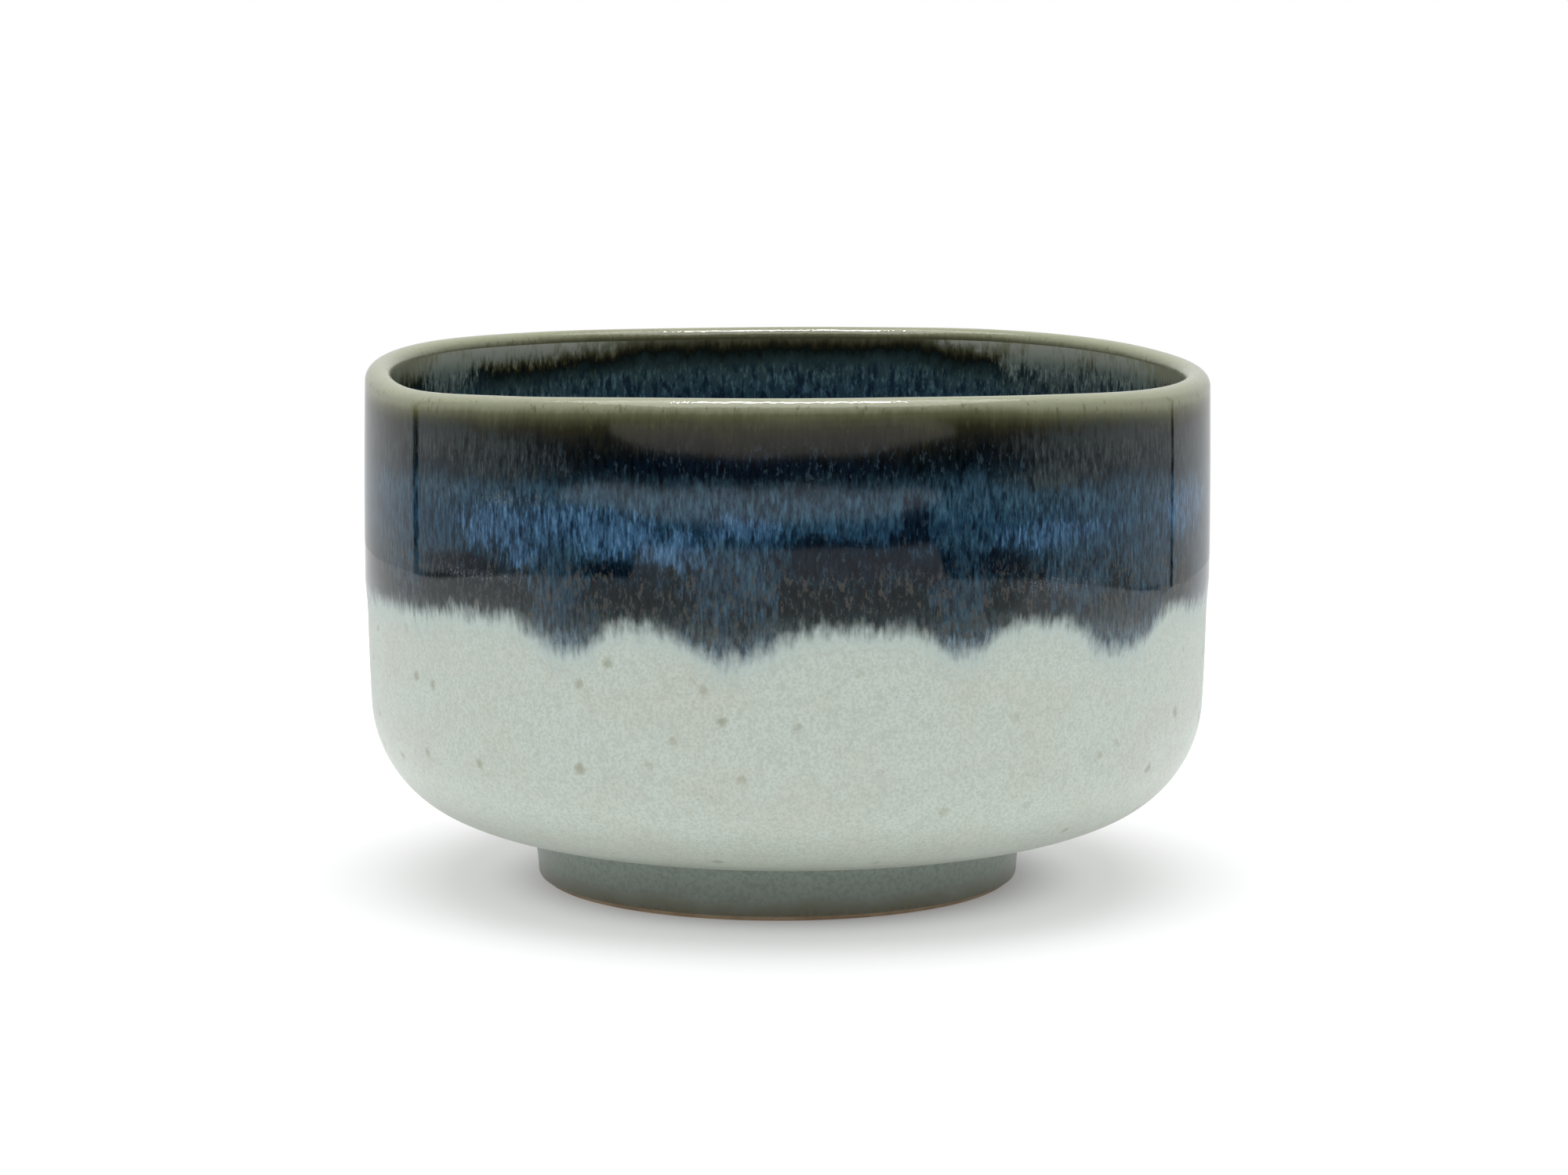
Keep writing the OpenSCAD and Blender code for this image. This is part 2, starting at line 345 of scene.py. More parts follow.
def turned(name, node, slot, r, z, around, place=placed, closed=True, values=None):
    """A turned solid. r and z are (points, around) arrays that trace its outline once, upwards
    inside and downwards outside, so that its faces look outwards.

    A closed outline is a loop, and an open one starts and ends on the axis."""
    count = r.shape[0]
    x, y, up = place(r, z, np.broadcast_to(azimuths(around), r.shape))
    grid = np.arange(count * around).reshape(count, around)
    co = np.stack([x, y, up], -1).reshape(-1, 3)
    picked = slice(None)
    if not closed:
        co = np.concatenate([co[:1], co[around:-around], co[-1:]])
        picked = np.concatenate([[0], np.arange(around, (count - 1) * around),
                                 [count * around - 1]])
        grid = np.arange((count - 2) * around).reshape(count - 2, around) + 1
    rows = np.arange(grid.shape[0] if closed else grid.shape[0] - 1)
    following = (np.arange(around) + 1) % around
    a = grid[rows]
    b = grid[(rows + 1) % grid.shape[0]]
    faces = np.stack([a, b, b[:, following], a[:, following]], -1).reshape(-1, 4).tolist()
    if not closed:
        first, last = grid[0], grid[-1]
        start, end = np.zeros(around, int), np.full(around, len(co) - 1)
        faces += np.stack([start, first, first[following]], -1).tolist()
        faces += np.stack([end, last[following], last], -1).tolist()
    mesh = bpy.data.meshes.new(name)
    mesh.from_pydata((co * MM).tolist(), [], faces)
    for key, value in (values or {}).items():
        flat = np.broadcast_to(value, r.shape).reshape(-1)[picked]
        layer = mesh.attributes.new(key, "FLOAT", "POINT")
        layer.data.foreach_set("value", np.ascontiguousarray(flat, dtype=np.float32))
    mesh.validate()
    mesh.polygons.foreach_set("use_smooth", np.ones(len(mesh.polygons), bool))
    mesh.set_sharp_from_angle(angle=math.radians(SHARP_ANGLE))
    piece = bpy.data.objects.new(name, mesh)
    bpy.context.scene.collection.objects.link(piece)
    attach(piece, BODY)
    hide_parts(node)
    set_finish(piece, slot)
    return piece


def patches(spots, z, azimuth):
    """0 to 1: soft-edged patches at (azimuth, height, half-width in degrees, half-height)."""
    total = np.zeros(np.broadcast_shapes(z.shape, azimuth.shape))
    for middle, height, across, up in spots:
        away = (turn_between(azimuth, middle) / across) ** 2 + ((z - height) / up) ** 2
        total = np.maximum(total, np.exp(-PATCH_FALL * away ** PATCH_POWER))
    return total


def outer_values(z, azimuth):
    """What the outer glaze reads: true height, height above the drip edge, depth of the drip,
    the level that picks its colour, and patches."""
    depth = drip_depth(azimuth)
    values = {"height": z, "edge": z - (EDGE_Z - depth), "runs": depth,
              "level": z + around_curve(LIP_LIFT, azimuth)}
    for name, spots in PATCHES.items():
        values[name] = patches(spots, z, azimuth)
    return values


def make_clay_body():
    lip = lip_line(wall_r(WALL_TOP, CLAY_DEPTH), INSIDE_R + INNER_T, RIM_Z - LIP_T, 6)
    line = join(inner_line(INNER_T, 8, 14)[::-1], lip[::-1], outer_line(CLAY_DEPTH, 12, 14),
                [[0, FOOT_JOIN]])
    r, z = spread(line, AROUND_COARSE)
    return turned("thrown_clay_body", "clay_bowl", "clay", r, z, AROUND_COARSE, closed=False)


def make_pale_glaze():
    """The coat stops in a level ring around the foot, which is off the bowl's axis."""
    azimuth = azimuths(AROUND)
    a = np.radians(azimuth)
    neck = FOOT_X * np.sin(a) + np.sqrt(FOOT_TOP_R**2 - (FOOT_X * np.cos(a)) ** 2)

    def side(line, level, shares):
        """A line as far as the underside, and then level to the neck in a few shares."""
        r, z = spread(line, AROUND)
        ring = r[-1:] + (neck - r[-1:]) * np.array(shares)[:, None]
        return np.concatenate([r, ring]), np.concatenate([z, np.full(ring.shape, level)])

    face_r, face_z = side(outer_line(DARK_T, 60, 30), FOOT_H, (0.25, 0.5, 0.75, 1))
    back_r, back_z = side(outer_line(CLAY_DEPTH, 14, 12), FOOT_JOIN, (0.5, 1))
    r = np.concatenate([face_r, back_r[::-1]])
    z = np.concatenate([face_z, back_z[::-1]])
    return turned("pale_glaze_coat", "pale_glaze", "pale_glaze", r, z, AROUND,
                  values=outer_values(z, azimuth))


def make_dark_glaze():
    """The coat gets thinner towards its dripping edge, after a slight bead in each drip."""
    azimuth = azimuths(AROUND_FINE)
    depth = drip_depth(azimuth)
    low = EDGE_Z - depth - FADE
    face_z = WALL_TOP + (low - WALL_TOP) * np.linspace(0, 1, 62)[:, None]
    edge = face_z - (EDGE_Z - depth)
    thick = EDGE_T + (DARK_T - EDGE_T) * smooth(-FADE, FULL_ABOVE, edge)
    bead = BEAD * np.exp(-((edge - BEAD_UP) / BEAD_SPREAD) ** 2)
    bead = bead * np.clip(depth / BEAD_DEPTH, 0, 1)
    face_r = wall_r(face_z, DARK_T - np.minimum(thick + bead, DARK_T + BEAD))
    back_z = face_z[::-6]
    r = np.concatenate([face_r, wall_r(back_z, DARK_T)])
    z = np.concatenate([face_z, back_z])
    return turned("dark_glaze_coat", "dark_glaze", "dark_glaze", r, z, AROUND_FINE,
                  values=outer_values(z, azimuth))


def make_lip_glaze():
    face = lip_line(wall_r(WALL_TOP, 0), INSIDE_R, RIM_Z, 12)
    clay = lip_line(wall_r(WALL_TOP, CLAY_DEPTH), INSIDE_R + INNER_T, RIM_Z - LIP_T, 6)
    r, z = spread(join(clay, face[::-1]), AROUND_FINE)
    return turned("lip_glaze_coat", "lip_glaze", "lip_glaze", r, z, AROUND_FINE,
                  values=outer_values(z, azimuths(AROUND_FINE)))


def make_inner_glaze():
    face = inner_line(0, 44, 26)
    back = inner_line(INNER_T, 8, 12)
    r, z = spread(join(face[::-1], back), AROUND)
    azimuth = azimuths(AROUND)
    values = {"height": z, "level": z + around_curve(INNER_LIFT, azimuth),
              "wash": patches(INNER_WASH, z, azimuth)}
    return turned("inner_glaze_coat", "inner_glaze", "inner_glaze", r, z, AROUND, closed=False,
                  values=values)


def make_foot_ring():
    edge = arc([FOOT_LOW_R - FOOT_T - FOOT_EDGE_R, FOOT_EDGE_R], FOOT_EDGE_R, FOOT_EDGE_R,
               0, -90, 8)
    bevel = arc([FOOT_INNER_R + FOOT_INNER_EDGE, FOOT_INNER_EDGE], FOOT_INNER_EDGE,
                FOOT_INNER_EDGE, -90, -180, 5)
    inner_z = np.linspace(FOOT_INNER_EDGE, FOOT_JOIN, 8)
    line = join(foot_line(0, 12), edge, bevel, np.stack([well_r(inner_z), inner_z], 1))
    r, z = spread(line, AROUND)
    return turned("trimmed_foot_ring", "foot_ring", "clay", r, z, AROUND, placed_foot)


def make_foot_glaze():
    rounded = arc([FOOT_LOW_R - FOOT_EDGE_R, FOOT_GLAZE_LOW], FOOT_EDGE_R, FOOT_EDGE_R,
                  0, -FOOT_GLAZE_WRAP, 4)
    r, z = spread(join(foot_line(FOOT_T, 20), rounded, foot_line(0, 6)[::-1]), AROUND)
    return turned("foot_glaze_coat", "foot_glaze", "foot_glaze", r, z, AROUND, placed_foot,
                  values={"height": z})


def make_well_glaze():
    ceiling = FOOT_JOIN - FOOT_T
    flat_r = well_r(FOOT_JOIN) - FOOT_T - WELL_CORNER_R
    wall_z = np.linspace(ceiling, WELL_GLAZE_LOW, 8)[1:]
    face = join(np.stack([np.linspace(0, flat_r, 12), np.full(12, ceiling)], 1),
                arc([flat_r, ceiling - WELL_CORNER_R], WELL_CORNER_R, WELL_CORNER_R, 90, 0, 5),
                np.stack([well_r(wall_z) - FOOT_T, wall_z], 1))
    back = [[well_r(WELL_GLAZE_LOW), WELL_GLAZE_LOW], [well_r(FOOT_JOIN), FOOT_JOIN],
            [0, FOOT_JOIN]]
    r, z = spread(join(face, back)[::-1], AROUND_COARSE)
    return turned("foot_well_glaze_coat", "foot_well_glaze", "foot_glaze", r, z, AROUND_COARSE,
                  placed_foot, closed=False, values={"height": z})


# ---------------------------------------------------------------------------------------------
# Materials
# ---------------------------------------------------------------------------------------------

class Nodes:
    """A node tree, with short calls for the nodes that this script uses."""

    def __init__(self, tree):
        self.tree = tree

    def node(self, kind, **settings):
        node = self.tree.nodes.new(kind)
        for key, value in settings.items():
            setattr(node, key, value)
        return node

    def put(self, socket, value):
        """Link a socket to another one, or set it to a number or a colour."""
        if isinstance(value, bpy.types.NodeSocket):
            self.tree.links.new(value, socket)
        elif isinstance(value, tuple) and socket.type == "RGBA":
            socket.default_value = (*value, 1)
        else:
            socket.default_value = value

    def math(self, kind, a, b=0.0):
        node = self.node("ShaderNodeMath", operation=kind)
        self.put(node.inputs[0], a)
        self.put(node.inputs[1], b)
        return node.outputs[0]

    def add(self, *values):
        total = values[0]
        for value in values[1:]:
            total = self.math("ADD", total, value)
        return total

    def times(self, a, b):
        return self.math("MULTIPLY", a, b)

    def minus(self, a, b):
        return self.math("SUBTRACT", a, b)

    def step(self, value, low, high, out_low=0.0, out_high=1.0):
        """Smooth step from low to high, which may run downwards."""
        node = self.node("ShaderNodeMapRange", interpolation_type="SMOOTHSTEP")
        if low > high:
            low, high, out_low, out_high = high, low, out_high, out_low
        for socket, number in zip(node.inputs, (value, low, high, out_low, out_high)):
            self.put(socket, number)
        return node.outputs[0]

    def mix(self, share, a, b, blend="MIX"):
        """Colour a, changed into colour b by a share."""
        node = self.node("ShaderNodeMix", data_type="RGBA", blend_type=blend)
        self.put(node.inputs[0], share)
        self.put(node.inputs[6], a)
        self.put(node.inputs[7], b)
        return node.outputs[2]

    def blend(self, share, a, b):
        """Number a, changed into number b by a share."""
        node = self.node("ShaderNodeMix", data_type="FLOAT")
        self.put(node.inputs[0], share)
        self.put(node.inputs[2], a)
        self.put(node.inputs[3], b)
        return node.outputs[0]

    def camera_ray(self):
        return self.node("ShaderNodeLightPath").outputs["Is Camera Ray"]

    def azimuth(self, x, y):
        """Degrees from the front towards the right."""
        return self.times(self.math("ARCTAN2", x, self.times(y, -1)), DEGREES)


class Paint(Nodes):
    """A material's nodes, with patterns that are measured in millimetres on the object."""

    def __init__(self, name):
        self.material = bpy.data.materials.new(name)
        self.material.use_nodes = True
        super().__init__(self.material.node_tree)
        self.shader = self.tree.nodes["Principled BSDF"]
        scaled = self.node("ShaderNodeVectorMath", operation="SCALE")
        self.put(scaled.inputs[0], self.node("ShaderNodeTexCoord").outputs["Object"])
        self.put(scaled.inputs["Scale"], 1 / MM)
        self.place = scaled.outputs[0]

    def set(self, **inputs):
        """Set the shader's own sockets, named with _ for each blank."""
        for key, value in inputs.items():
            self.put(self.shader.inputs[key.replace("_", " ")], value)

    def read(self, name):
        """A value that the mesh holds at each point."""
        return self.node("ShaderNodeAttribute", attribute_name=name).outputs["Fac"]

    def stretched(self, x, y, z, shift):
        """Places on the object, scaled along each axis and moved by a shift."""
        node = self.node("ShaderNodeMapping")
        self.put(node.inputs["Vector"], self.place)
        self.put(node.inputs["Scale"], (x, y, z))
        self.put(node.inputs["Location"], (shift, shift * 0.7, shift * 0.3))
        return node.outputs[0]

    def noise(self, size, detail=2.0, rough=0.5, tall=1.0, shift=0.0):
        """Noise about 0.5, whose spots are size mm wide and tall times that high. detail and
        rough add finer spots, and each noise has a shift of its own."""
        node = self.node("ShaderNodeTexNoise")
        self.put(node.inputs["Vector"],
                 self.stretched(1 / size, 1 / size, 1 / (size * tall), shift))
        self.put(node.inputs["Scale"], 1.0)
        self.put(node.inputs["Detail"], detail)
        self.put(node.inputs["Roughness"], rough)
        return node.outputs["Fac"]

    def swing(self, noise, size):
        """A noise about 0.5, turned into one about 0 and scaled by a size."""
        return self.times(self.minus(noise, 0.5), size)

    def cells(self, size, shift):
        """Distance to the nearest of scattered points that are about size mm apart."""
        node = self.node("ShaderNodeTexVoronoi", feature="F1")
        self.put(node.inputs["Vector"], self.stretched(1 / size, 1 / size, 1 / size, shift))
        self.put(node.inputs["Scale"], 1.0)
        self.put(node.inputs["Randomness"], 1.0)
        return node.outputs["Distance"]

    def toned(self, share, colour, tone):
        """The colour, multiplied by a tone by a share."""
        return self.mix(share, colour, self.mix(1.0, colour, tone, "MULTIPLY"))

    def ramp(self, value, low, high, levels):
        """Colours at chosen values between low and high."""
        node = self.node("ShaderNodeValToRGB")
        share = self.node("ShaderNodeMapRange")
        for socket, number in zip(share.inputs, (value, low, high, 0.0, 1.0)):
            self.put(socket, number)
        self.put(node.inputs[0], share.outputs[0])
        elements = node.color_ramp.elements
        while len(elements) < len(levels):
            elements.new(0.5)
        for element, (at, colour) in zip(elements, levels):
            element.position = (at - low) / (high - low)
            element.color = (*colour, 1)
        return node.outputs[0]

    def bump(self, height, strength, distance):
        """Small relief. distance is in millimetres."""
        node = self.node("ShaderNodeBump")
        self.put(node.inputs["Strength"], strength)
        self.put(node.inputs["Distance"], distance * MM)
        self.put(node.inputs["Height"], height)
        self.put(self.shader.inputs["Normal"], node.outputs[0])


GLAZE_IOR = 1.45

# Colours, as linear light
LIP_PALE = (0.30, 0.31, 0.21)
CELADON = (0.645, 0.715, 0.64)
CELADON_PINK = (0.63, 0.645, 0.56)
CELADON_BLUE = (0.51, 0.625, 0.60)      # where dark glaze has tinted it from above
PALE_GRAIN = (0.45, 0.51, 0.45)
PALE_MOTTLE = (0.49, 0.53, 0.45)
SPECK = (0.30, 0.29, 0.19)
FRECKLE = (0.42, 0.42, 0.32)
BRIGHT_BLUE = (0.046, 0.110, 0.200)
HAZE = (0.030, 0.040, 0.042)
INK = (0.001, 0.004, 0.010)
RUN_BLUE = (0.020, 0.050, 0.078)
MIST = (0.105, 0.160, 0.200)            # at the tips of the drips
FLECK = (0.050, 0.085, 0.110)
# Painted highlight: the pale grey of glinting crumbs along mirrored edges
PAINTED_GLINT = (0.12, 0.135, 0.145)
GRIT = (0.062, 0.063, 0.057)
STAIN = (0.085, 0.075, 0.028)
FOOT_GRAIN = (0.17, 0.195, 0.165)
CLAY_BROWN = (0.33, 0.23, 0.14)
CLAY_TAN = (0.42, 0.31, 0.20)
CLAY_GRAIN = (0.16, 0.10, 0.06)

# What streaks and painted shade multiply a colour by
FINE_LIGHT = (2.0, 1.9, 1.85)
MEDIUM_LIGHT = (1.9, 1.8, 1.7)
MEDIUM_DARK = (0.22, 0.28, 0.34)
STREAK_DARK = (0.3, 0.35, 0.4)
INNER_LIGHT = (2.6, 2.5, 2.4)
INNER_DARK = (0.25, 0.3, 0.4)
UNDERSIDE_PAINTED_SHADE = (0.50, 0.51, 0.47)

# Colours of each glaze by height
OUTER_LEVELS = [
    (40.0, (0.085, 0.125, 0.145)), (43.0, (0.040, 0.060, 0.066)),
    (46.0, (0.006, 0.014, 0.016)), (49.0, (0.001, 0.006, 0.009)),
    (51.5, (0.005, 0.020, 0.034)), (54.0, (0.018, 0.050, 0.084)),
    (57.0, (0.012, 0.040, 0.074)), (60.0, (0.022, 0.058, 0.092)),
    (61.8, (0.024, 0.056, 0.084)), (63.4, (0.009, 0.024, 0.036)),
    (65.0, (0.002, 0.006, 0.010)), (67.0, (0.003, 0.005, 0.006)),
    (69.0, (0.010, 0.011, 0.009)), (70.5, (0.025, 0.024, 0.012)),
    (71.5, (0.056, 0.058, 0.028)), (72.4, (0.120, 0.122, 0.064)),
    (73.3, (0.26, 0.27, 0.175)), (74.3, LIP_PALE)]
INNER_LEVELS = [
    (12.0, (0.010, 0.024, 0.036)), (16.0, (0.018, 0.046, 0.070)),
    (24.0, (0.010, 0.028, 0.042)), (36.0, (0.016, 0.034, 0.046)),
    (50.0, (0.012, 0.028, 0.036)), (60.0, (0.014, 0.036, 0.054)),
    (64.5, (0.030, 0.064, 0.090)), (67.8, (0.042, 0.080, 0.088)),
    (69.5, (0.020, 0.036, 0.036)), (70.7, (0.006, 0.009, 0.007)),
    (71.4, (0.026, 0.024, 0.010)), (72.0, (0.075, 0.074, 0.040)),
    (72.7, (0.150, 0.155, 0.100)), (73.4, (0.240, 0.250, 0.175)), (74.3, LIP_PALE)]
INNER_MILK = [
    (66.0, (0.055, 0.078, 0.080)), (68.0, (0.095, 0.130, 0.125)),
    (69.8, (0.170, 0.215, 0.190)), (71.3, (0.320, 0.360, 0.310)),
    (72.8, (0.460, 0.480, 0.420)), (74.0, (0.430, 0.440, 0.380))]
FOOT_LEVELS = [
    (0.8, (0.15, 0.13, 0.08)), (2.0, (0.18, 0.185, 0.135)), (3.4, (0.235, 0.275, 0.235)),
    (6.5, (0.275, 0.33, 0.29)), (8.4, (0.28, 0.32, 0.28))]


def pale_colour(p):
    """Celadon-white with soft pinkish clouds, a fine grain and a few brown specks."""
    clouds = p.step(p.noise(13, 3, 0.6, 0.8, 3.0), 0.46, 0.62)
    colour = p.mix(p.times(clouds, 0.45), CELADON, CELADON_PINK)
    grain = p.noise(0.42, 2, 0.6, 1.0, 9.0)
    mottle = p.noise(1.3, 3, 0.6, 1.2, 14.0)
    colour = p.mix(p.step(grain, 0.40, 0.64, 0.0, 0.5), colour, PALE_GRAIN)
    colour = p.mix(p.step(mottle, 0.45, 0.7, 0.0, 0.35), colour, PALE_MOTTLE)
    freckle = p.step(p.noise(0.75, 2, 0.6, 1.0, 38.0), 0.64, 0.74)
    colour = p.mix(p.times(freckle, 0.4), colour, FRECKLE)
    ragged = p.add(p.cells(6.5, 1.7), p.swing(p.noise(0.9), 0.16))
    chosen = p.step(p.noise(9, 1, 0.5, 1.0, 21.0), 0.33, 0.45)
    speck = p.times(p.step(ragged, 0.17, 0.04), chosen)
    return p.mix(p.times(speck, 0.6), colour, SPECK)


def dark_colour(p, height, edge, fine, streak):
    """Blue and black bands that run into each other, and an olive lip above them."""
    patch = p.noise(7, 3, 0.55, 1.0, 31.0)
    wander = p.add(p.swing(fine, 4.0), p.swing(streak, 6.5), p.swing(patch, 4.5))
    level = p.add(p.read("level"), p.times(wander, p.step(height, 72.5, 66.0, 0.12, 1.0)))
    colour = p.ramp(level, 38, 76, OUTER_LEVELS)

    def reach(name, low=0.3, high=0.75):
        """A listed patch, its rim broken up by the streaks."""
        spot = p.read(name)
        broken = p.add(spot, p.swing(streak, 2.6), p.swing(fine, 1.6))
        return p.times(p.step(broken, low, high), p.step(spot, 0.03, 0.3))

    colour = p.mix(p.times(reach("blue"), 0.72), colour, BRIGHT_BLUE)
    colour = p.mix(p.times(reach("haze", 0.1, 1.0), 0.75), colour, HAZE)
    colour = p.mix(p.times(reach("run_blue"), 0.8), colour, RUN_BLUE)
    colour = p.mix(p.times(reach("ink"), 0.88), colour, INK)
    # Painted highlight: pale crumbs of glint, where the edges of mirrored shapes fall
    glint_crumbs = p.step(p.noise(0.35, 3, 0.7, 0.7, 83.0), 0.46, 0.62)
    colour = p.mix(p.times(p.times(reach("frost", 0.2, 0.9), glint_crumbs), 0.55), colour, PAINTED_GLINT)
    tip = p.times(p.step(p.read("runs"), 1.0, 3.0), p.step(edge, 4.5, 0.0))
    colour = p.mix(p.times(tip, 0.8), colour, MIST)

    under_lip = p.times(p.step(height, 69.5, 71.5), p.step(height, 74.3, 73.4))
    stain = p.times(p.step(p.noise(0.8, 2, 0.6, 3.0, 101.0), 0.60, 0.68), under_lip)
    colour = p.mix(p.times(stain, 0.45), colour, STAIN)

    body = p.step(height, 70.5, 66)
    medium = p.noise(0.55, 3, 0.65, 4.0, 90.0)
    for value, low, high, share, tone in (
            (fine, 0.46, 0.68, 0.8, FINE_LIGHT), (streak, 0.5, 0.34, 0.6, STREAK_DARK),
            (medium, 0.50, 0.62, 0.75, MEDIUM_LIGHT), (medium, 0.49, 0.38, 0.8, MEDIUM_DARK)):
        colour = p.toned(p.times(p.step(value, low, high), p.times(body, share)), colour, tone)

    fleck = p.step(p.noise(0.6, 2, 0.7, 2.6, 47.0), 0.57, 0.66)
    colour = p.mix(p.times(fleck, p.times(body, 0.4)), colour, FLECK)
    grit = p.step(p.noise(0.75, 3, 0.75, 2.4, 58.0), 0.53, 0.61)
    return p.mix(p.times(p.times(grit, p.step(height, 54, 50)), 0.8), colour, GRIT)


def make_outer_material(name):
    """The whole outside above the foot. The dark glaze ends in a ragged, running edge, on
    whichever coat that edge falls."""
    p = Paint(name)
    height = p.read("height")
    edge = p.read("edge")
    fine = p.noise(0.34, 3, 0.65, 6.0, 4.0)
    streak = p.noise(0.95, 3, 0.65, 4.0, 12.0)

    dark = dark_colour(p, height, edge, fine, streak)
    # Painted shade: the pale glaze darkens low on the underside, towards the foot
    pale = p.toned(p.step(height, 19.0, 9.5, 0.0, 0.75), pale_colour(p), UNDERSIDE_PAINTED_SHADE)
    hairs = p.step(p.noise(5, 1, 0.5, 1.0, 66.0), 0.4, 0.6, 0.8, 2.2)
    lumps = p.noise(2.4, 2, 0.5, 1.4, 77.0)
    ragged = p.add(edge, p.swing(fine, hairs), p.swing(streak, 3.4), p.swing(lumps, 2.6), -0.2)
    pale = p.mix(p.times(p.step(ragged, -4.5, 0.0), 0.7), pale, CELADON_BLUE)
    covered = p.step(ragged, -1.7, 1.7)
    rough = p.blend(covered, p.step(height, 73.4, 74.0, 0.34, 0.08), 0.03)
    p.set(Base_Color=p.mix(covered, pale, dark), Roughness=rough, IOR=GLAZE_IOR,
          Specular_IOR_Level=0.45)

    grain = p.noise(0.5, 2, 0.6, 1.0, 9.0)
    ripple = p.noise(1.2, 2, 0.5, 1.0, 3.0)
    on_lip = p.step(height, 72.8, 73.6)
    relief = p.blend(covered, grain, p.times(fine, 0.15))
    p.bump(p.blend(on_lip, relief, p.times(ripple, 16.0)), 0.25, 0.02)
    return p.material


def make_inner_material():
    """Dark blue-green streaks with milky places near the lip."""
    p = Paint("inner_glaze_look")
    height = p.read("height")
    fine = p.noise(0.5, 3, 0.7, 3.2, 54.0)
    streak = p.noise(1.1, 3, 0.65, 2.6, 62.0)
    patch = p.noise(7, 3, 0.55, 1.0, 71.0)
    wander = p.add(p.swing(fine, 2.5), p.swing(streak, 4.5), p.swing(patch, 4.0))
    level = p.add(p.read("level"), p.times(wander, p.step(height, 73, 68, 0.35, 1.0)))
    colour = p.ramp(level, 10, 76, INNER_LEVELS)
    spot = p.read("wash")
    broken = p.add(spot, p.swing(streak, 2.4), p.swing(fine, 1.2), p.swing(patch, 0.8))
    wash = p.times(p.step(broken, 0.1, 1.0), p.step(spot, 0.03, 0.3))
    colour = p.mix(p.times(wash, 0.9), colour, p.ramp(height, 60, 76, INNER_MILK))
    body = p.step(height, 71.0, 67.5)
    for value, low, high, share, tone in ((fine, 0.50, 0.62, 0.9, INNER_LIGHT),
                                          (streak, 0.52, 0.40, 0.85, INNER_DARK)):
        colour = p.toned(p.times(p.step(value, low, high), p.times(body, share)), colour, tone)
    p.set(Base_Color=colour, Roughness=0.05, IOR=GLAZE_IOR)
    p.bump(streak, 0.15, 0.02)
    return p.material


def make_foot_material():
    """Grey-green, browner towards the table."""
    p = Paint("foot_glaze_look")
    cloud = p.noise(7, 3, 0.6, 0.6, 5.0)
    grain = p.noise(0.7, 3, 0.7)
    colour = p.ramp(p.add(p.read("height"), p.swing(cloud, 3.0)), 0, 9, FOOT_LEVELS)
    colour = p.mix(p.step(grain, 0.42, 0.62, 0, 0.5), colour, FOOT_GRAIN)
    p.set(Base_Color=colour, Roughness=0.32, IOR=GLAZE_IOR)
    p.bump(grain, 0.3, 0.03)
    return p.material


def make_clay_material():
    p = Paint("clay_look")
    grain = p.noise(0.35, 4, 0.7)
    cloud = p.noise(5, 3, 0.6)
    colour = p.mix(p.step(cloud, 0.35, 0.65), CLAY_BROWN, CLAY_TAN)
    colour = p.mix(p.step(grain, 0.55, 0.72, 0, 0.6), colour, CLAY_GRAIN)
    p.set(Base_Color=colour, Roughness=0.85)
    p.bump(grain, 0.5, 0.06)
    return p.material


# ---------------------------------------------------------------------------------------------
# Pieces
# ---------------------------------------------------------------------------------------------

looks = {
    "clay": make_clay_material(),
    "pale_glaze": make_outer_material("pale_glaze_look"),
    "dark_glaze": make_outer_material("dark_glaze_look"),
    "lip_glaze": make_outer_material("lip_glaze_look"),
    "inner_glaze": make_inner_material(),
    "foot_glaze": make_foot_material(),
}
pieces = [
    make_clay_body(), make_pale_glaze(), make_dark_glaze(), make_lip_glaze(),
    make_inner_glaze(), make_foot_ring(), make_foot_glaze(), make_well_glaze()]
for piece in pieces:
    piece.data.materials.append(looks[piece["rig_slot"]])


# ---------------------------------------------------------------------------------------------
# Stage, light and camera, in metres
# ---------------------------------------------------------------------------------------------

SHEET_R = 0.43            # the white sheet under the bowl, whose rim the dark glaze mirrors
SHEET_SHORTER_BACK = 0.052
SHEET_SHORTER_RIGHT = 0.02
SHEET_LONGER_FRONT = 0.085
FLOOR_GREY = (0.42, 0.42, 0.42)

# The sheet glows, so that its shadows are as pale as the photo's
# The weaker glow under the bowl is a painted shadow, on top of the real one
NEAR_GLOW = (0.14, 0.50)  # under the bowl, and out from under it
FAR_GLOW = 0.12           # how much more it glows farther out
FRONT_DIM = 0.2           # share of the glow that the bowl sees of the front of the sheet
BACK_DIM = 0.5            # and of its back

# What the bowl mirrors: a dim room, two low windows and an upright white sheet behind it
ROOM_FRONT = (0.012, 0.012, 0.014)
ROOM_SIDE = (0.54, 0.56, 0.57)
ROOM_HIGH = (0.35, 0.36, 0.37)
WINDOW_HIGH = (1.0, 0.96, 0.90)
WINDOW_LOW = (0.98, 1.02, 1.10)
SHEET = (0.69, 0.70, 0.70)
BLACK = (0.0, 0.0, 0.0)
WHITE = (1.0, 1.0, 1.0)
# Windows: azimuth and elevation of the middle, and half-size across, upwards and downwards
HIGH_PLACE = ((-1.5, -4.45), (47, 0.36, 0.44))
LOW_PLACE = ((-11, -5.9), (52.5, 0.36, 0.40))
# Edges of the upright sheet, on the right and on the left: azimuth, and how thin a dark line
# runs along it (1 makes it 1.2 degrees wide, and less makes it wider)
EDGE_AZIMUTH = (126.5, 119.0)
EDGE_THIN = (0.8, 0.45)
GAP_UP = (-7.97, -7.79)   # below this elevation a dark gap shows over the rim of the floor


